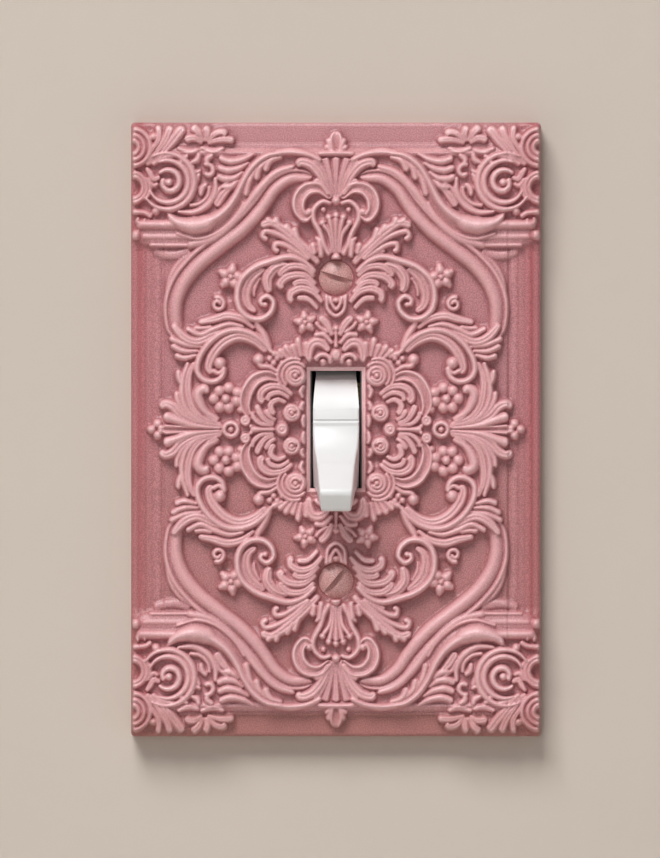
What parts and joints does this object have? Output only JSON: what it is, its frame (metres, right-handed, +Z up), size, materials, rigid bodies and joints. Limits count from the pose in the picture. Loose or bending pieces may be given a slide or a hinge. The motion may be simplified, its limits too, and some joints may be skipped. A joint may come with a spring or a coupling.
{
  "type": "toggle switch wall plate",
  "caption": "Carved single-gang toggle wall plate with scrolls and leaves, on its strap-mounted switch with lever, screws and rocking contact.",
  "frame": {"origin": "centre of the toggle opening, on the wall plane that the plate's rim rests on", "axes": "+X to the right seen from the room, +Y into the wall, +Z up"},
  "size_m": [0.0816, 0.0459, 0.1222],
  "materials": {
    "pink_cast": "fine grained, softly mottled dusty pink paint on a cast resin plate",
    "pink_screw": "steel, painted the colour of the plate",
    "white_lever": "glossy white urea",
    "zinc_steel": "bright zinc plated",
    "green_screw": "green dyed steel",
    "cover_plastic": "grey-green thermoset",
    "base_plastic": "dark thermoset",
    "brass": "plain stamped brass",
    "silver": "silver alloy contact",
    "fibre": "vulcanised fibre",
    "pad_rubber": "soft black rubber"
  },
  "bodies": {
    "housing": {"plate": "pink_cast", "plate_screws": "pink_screw", "strap": "zinc_steel", "strap_rivets": "zinc_steel", "box_screws": "zinc_steel", "screw_retainers": "fibre", "ground_screw": "green_screw", "switch_cover": "cover_plastic", "switch_base": "base_plastic", "fixed_contact_tip": "silver", "line_terminal": "brass", "load_terminal": "brass", "terminal_clamps": "zinc_steel", "terminal_screws": "brass", "rocker_bumper": "pad_rubber"},
    "lever": {"toggle_lever": "white_lever"},
    "rocker": {"contact_rocker": "base_plastic", "moving_contact": "brass", "moving_contact_tip": "silver", "toggle_spring": "zinc_steel"}
  },
  "joints": [
    {"name": "toggle_pivot", "type": "hinge", "parent": "housing", "child": "lever", "pos_m": [0, 0.006, 0], "axis": [-1, 0, 0], "range_deg": [0, 60], "deforming": ["toggle_spring"]},
    {"name": "contact_rock", "type": "hinge", "parent": "housing", "child": "rocker", "pos_m": [0, 0.0205, 0], "axis": [-1, 0, 0], "range_deg": [0, 14]}
  ],
  "couplings": [
    {"joint": "contact_rock", "follows": "toggle_pivot", "ratio": 0.23333}
  ]
}
